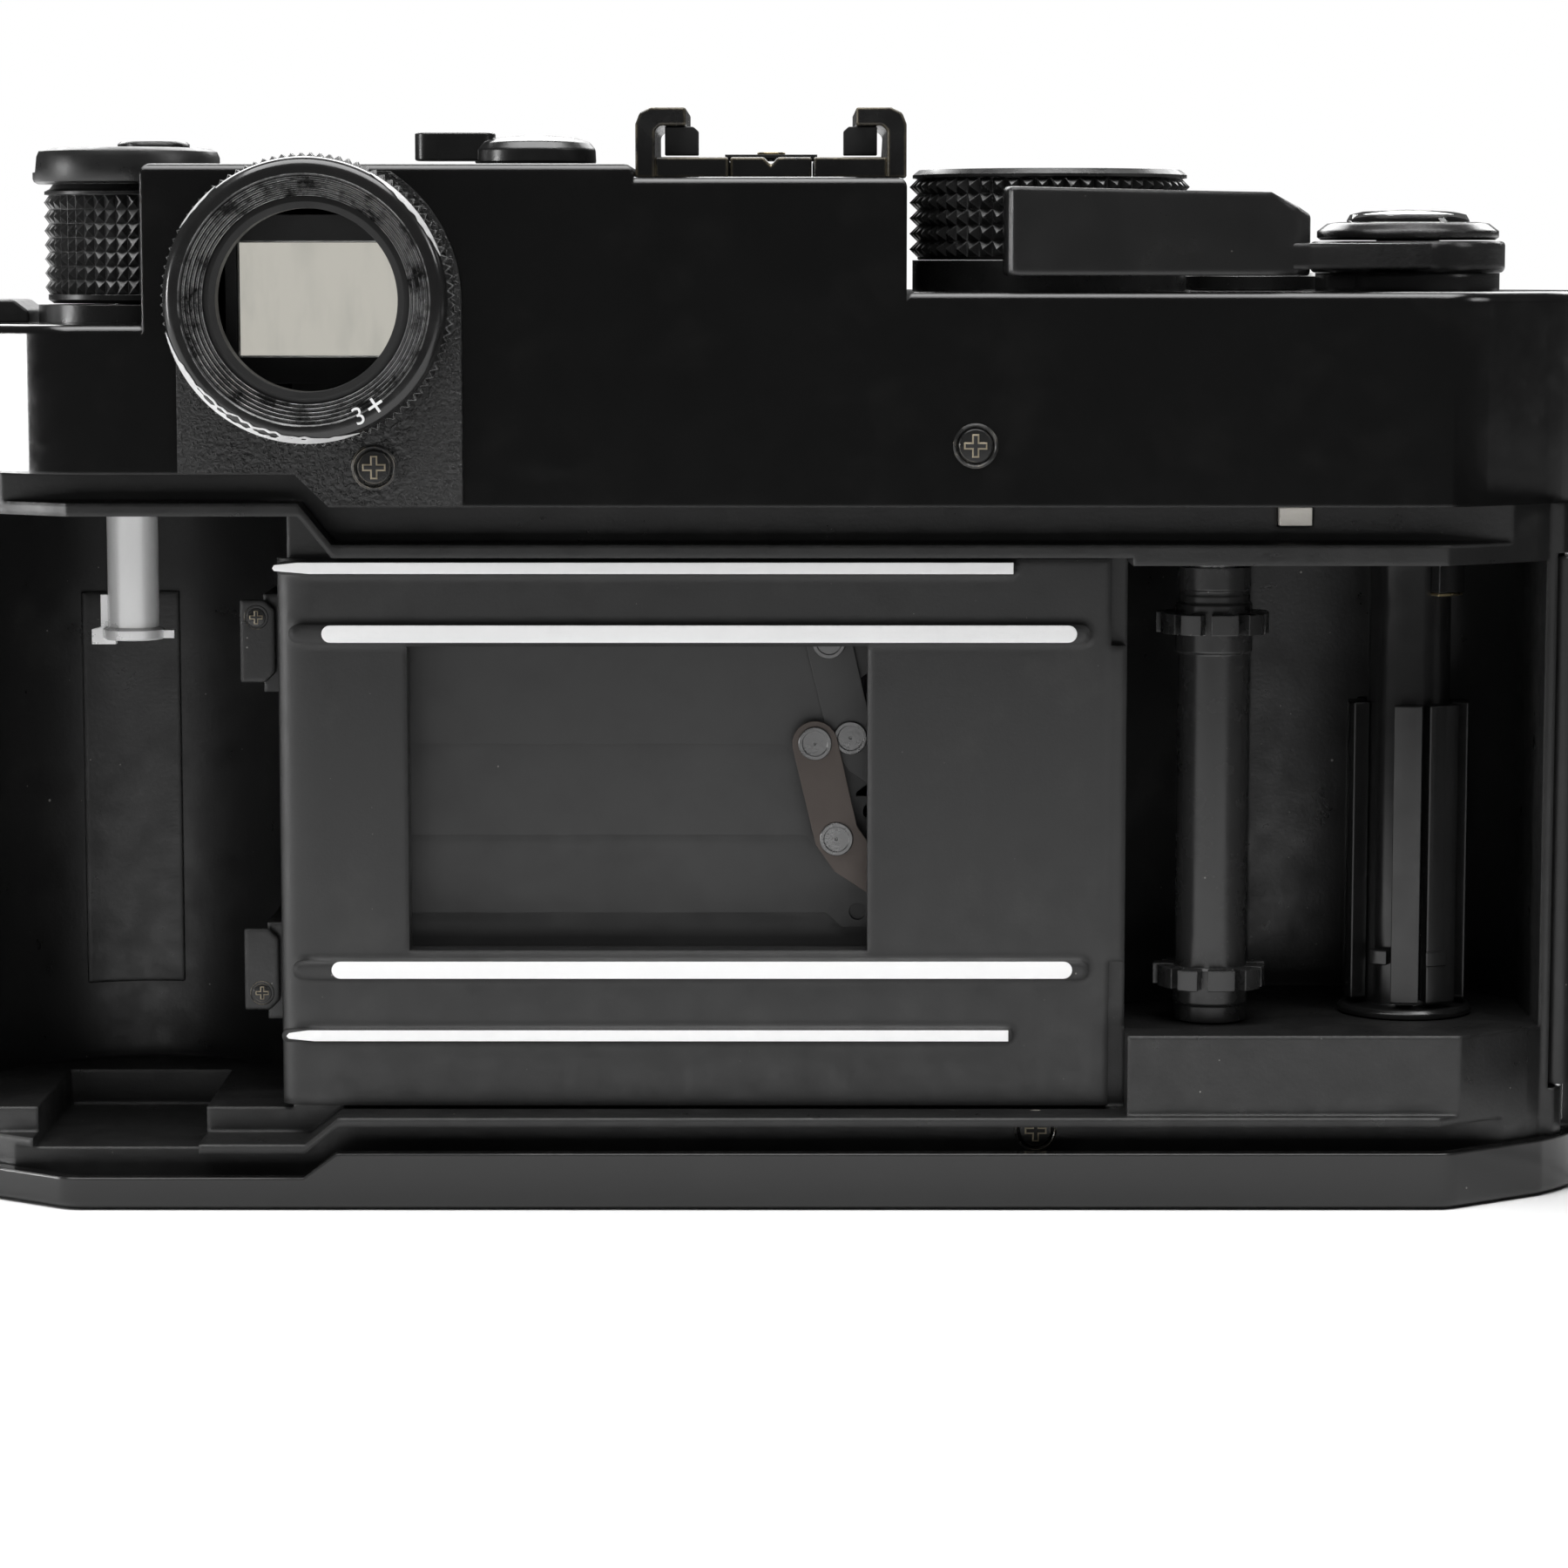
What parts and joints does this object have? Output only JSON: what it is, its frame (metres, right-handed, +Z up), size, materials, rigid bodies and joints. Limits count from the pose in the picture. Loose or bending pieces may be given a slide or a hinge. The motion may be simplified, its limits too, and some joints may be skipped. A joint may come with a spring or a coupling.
{
  "type": "film camera",
  "caption": "Compact 35 mm rangefinder film camera on its flat base, back door open, with film gate, blade shutter, spools and top controls.",
  "frame": {"origin": "mouth of the tripod socket in the base, straight under the lens axis", "axes": "+Z up from the flat base, -Y the way the lens looks, +Y the film door side, +X towards the rewind knob"},
  "size_m": [0.2002, 0.1615, 0.0853],
  "materials": {
    "arm": "oiled steel with bright rivets",
    "blade": "dark grey rolled metal",
    "brass": "worn brass",
    "casting": "satin black stove enamel with dust",
    "dial": "black enamel, numbers engraved",
    "eye_plate": "crackle black",
    "eye_ring": "gloss black, worn rim",
    "finder": "matt black",
    "front_plate": "satin black",
    "gate_plate": "semi-matt black, film rails machined bright",
    "glass": "coated clear glass",
    "insulator": "matt black",
    "knob": "knurled black, worn edges",
    "lens_black": "black anodised, ribbed",
    "lever": "black enamel and plastic",
    "mount_chrome": "bright satin chrome",
    "screw": "blackened steel",
    "shell_gloss": "gloss black enamel, fine wear on edges",
    "shoe": "black with brassed edges",
    "skin": "grained black leatherette",
    "spool": "glossy black plastic",
    "sprocket": "satin black with worn teeth",
    "steel": "turned steel"
  },
  "bodies": {
    "body": {"body_casting": "casting", "film_gate_plate": "gate_plate", "base_cover": "shell_gloss", "top_cover": "shell_gloss", "leatherette_left": "skin", "leatherette_right": "skin", "front_plate": "front_plate", "lens_mount_ring": "mount_chrome", "shutter_frame": "front_plate", "rewind_collar": "steel", "cartridge_pads": "casting", "lens_barrel": "lens_black", "lens_nose": "lens_black", "lens_glass": "glass", "eyepiece_plate": "eye_plate", "eyepiece_ring": "eye_ring", "finder_block": "finder", "eyepiece_glass": "glass", "front_windows": "glass", "hot_shoe": "shoe", "shoe_insulator": "insulator", "shoe_contact": "brass", "shoe_spring": "steel", "speed_dial_base": "dial", "lever_base": "lever", "lever_cap": "lever", "counter_window": "glass", "release_collar": "knob", "hinge_pin": "steel", "tripod_socket": "steel", "battery_cap": "shell_gloss", "body_screws": "screw", "strap_lugs": "steel"},
    "back_door": {"back_door": "casting", "door_leatherette": "skin", "pressure_plate": "gate_plate", "pressure_springs": "steel"},
    "rewind_lift": {"rewind_sleeve": "steel"},
    "rewind_knob": {"rewind_shaft": "steel", "rewind_knob": "knob"},
    "rewind_crank": {"rewind_crank": "knob"},
    "crank_handle": {"crank_handle": "lever"},
    "advance_lever": {"advance_lever": "lever", "lever_tip": "lever"},
    "frame_counter": {"frame_counter": "dial"},
    "sprocket": {"sprocket_shaft": "sprocket"},
    "takeup_spool": {"takeup_spool": "spool"},
    "release_button": {"release_button": "steel"},
    "speed_dial": {"speed_dial": "dial"},
    "frame_selector": {"frame_selector": "dial"},
    "aperture_ring": {"aperture_ring": "lens_black"},
    "focus_ring": {"focus_ring": "lens_black"},
    "rewind_release": {"rewind_release_button": "steel"},
    "counter_reset": {"counter_reset_tab": "steel"},
    "shutter_arm": {"shutter_arm_main": "arm"},
    "shutter_arm_second": {"shutter_arm_second": "arm"},
    "shutter_blade_1": {"shutter_blade_1": "blade"},
    "shutter_blade_2": {"shutter_blade_2": "blade"},
    "shutter_blade_3": {"shutter_blade_3": "blade"},
    "shutter_blade_4": {"shutter_blade_4": "blade"}
  },
  "joints": [
    {"name": "door_hinge", "type": "hinge", "parent": "body", "child": "back_door", "pos_m": [-0.0731, 0.0074, 0.03], "axis": [0, 0, 1], "range_deg": [-120, 0]},
    {"name": "rewind_lift", "type": "slide", "parent": "body", "child": "rewind_lift", "axis": [0, 0, 1], "range_m": [0, 0.008]},
    {"name": "rewind_spin", "type": "hinge", "parent": "rewind_lift", "child": "rewind_knob", "pos_m": [0.0409, 0, 0.07], "axis": [0, 0, 1], "continuous": true},
    {"name": "crank_fold", "type": "hinge", "parent": "rewind_knob", "child": "rewind_crank", "pos_m": [0.0458, 0, 0.0815], "axis": [0, 1, 0], "range_deg": [0, 180]},
    {"name": "handle_spin", "type": "hinge", "parent": "rewind_crank", "child": "crank_handle", "pos_m": [0.0387, 0, 0.082], "axis": [0, 0, 1], "continuous": true},
    {"name": "advance_stroke", "type": "hinge", "parent": "body", "child": "advance_lever", "pos_m": [-0.0612, 0, 0.074], "axis": [0, 0, 1], "range_deg": [0, 140]},
    {"name": "counter_turn", "type": "hinge", "parent": "body", "child": "frame_counter", "pos_m": [-0.0612, 0, 0.0757], "axis": [0, 0, 1], "range_deg": [0, 10.1]},
    {"name": "sprocket_turn", "type": "hinge", "parent": "body", "child": "sprocket", "pos_m": [-0.0455, 0.006, 0.03], "axis": [0, 0, 1], "range_deg": [0, 576.5]},
    {"name": "spool_turn", "type": "hinge", "parent": "body", "child": "takeup_spool", "pos_m": [-0.0616, 0.0018, 0.03], "axis": [0, 0, 1], "range_deg": [0, 444.5]},
    {"name": "release_press", "type": "slide", "parent": "body", "child": "release_button", "axis": [0, 0, -1], "range_m": [0, 0.0015], "stiffness_N_per_m": 300, "springref_m": -0.001},
    {"name": "speed_turn", "type": "hinge", "parent": "body", "child": "speed_dial", "pos_m": [-0.0326, 0, 0.075], "axis": [0, 0, 1], "range_deg": [-150, 150]},
    {"name": "selector_turn", "type": "hinge", "parent": "body", "child": "frame_selector", "pos_m": [0.0082, 0.002, 0.082], "axis": [0, 0, 1], "range_deg": [-30, 30]},
    {"name": "aperture_turn", "type": "hinge", "parent": "body", "child": "aperture_ring", "pos_m": [0, -0.025, 0.03165], "axis": [0, -1, 0], "range_deg": [0, 60]},
    {"name": "focus_turn", "type": "hinge", "parent": "body", "child": "focus_ring", "pos_m": [0, -0.034, 0.03165], "axis": [0, -1, 0], "range_deg": [0, 90]},
    {"name": "rewind_release_press", "type": "slide", "parent": "body", "child": "rewind_release", "axis": [0, 0, 1], "range_m": [0, 0.001], "stiffness_N_per_m": 200, "springref_m": -0.001},
    {"name": "counter_reset_press", "type": "slide", "parent": "body", "child": "counter_reset", "axis": [0, -1, 0], "range_m": [0, 0.0012], "stiffness_N_per_m": 100, "springref_m": -0.0005},
    {"name": "shutter_open", "type": "hinge", "parent": "body", "child": "shutter_arm", "pos_m": [-0.031, 0.008, 0.0185], "axis": [0, 1, 0], "range_deg": [0, 64]},
    {"name": "second_arm_turn", "type": "hinge", "parent": "body", "child": "shutter_arm_second", "pos_m": [-0.0321, 0.008, 0.0265], "axis": [0, 1, 0], "range_deg": [0, 64]},
    {"name": "blade_1_pivot", "type": "hinge", "parent": "shutter_arm", "child": "shutter_blade_1", "pos_m": [-0.0139, 0.0075, 0.0357], "axis": [0, 1, 0], "range_deg": [-64, 0]},
    {"name": "blade_2_pivot", "type": "hinge", "parent": "shutter_arm", "child": "shutter_blade_2", "pos_m": [-0.0156, 0.0075, 0.0281], "axis": [0, 1, 0], "range_deg": [-64, 0]},
    {"name": "blade_3_pivot", "type": "hinge", "parent": "shutter_arm", "child": "shutter_blade_3", "pos_m": [-0.0173, 0.0075, 0.0221], "axis": [0, 1, 0], "range_deg": [-64, 0]},
    {"name": "blade_4_pivot", "type": "hinge", "parent": "shutter_arm", "child": "shutter_blade_4", "pos_m": [-0.019, 0.0075, 0.0161], "axis": [0, 1, 0], "range_deg": [-64, 0]}
  ],
  "couplings": [
    {"joint": "counter_turn", "follows": "advance_stroke", "ratio": 0.071429},
    {"joint": "sprocket_turn", "follows": "advance_stroke", "ratio": 4.1143},
    {"joint": "spool_turn", "follows": "advance_stroke", "ratio": 3.1714},
    {"joint": "second_arm_turn", "follows": "shutter_open", "ratio": 1},
    {"joint": "blade_1_pivot", "follows": "shutter_open", "ratio": -1},
    {"joint": "blade_2_pivot", "follows": "shutter_open", "ratio": -1},
    {"joint": "blade_3_pivot", "follows": "shutter_open", "ratio": -1},
    {"joint": "blade_4_pivot", "follows": "shutter_open", "ratio": -1}
  ]
}
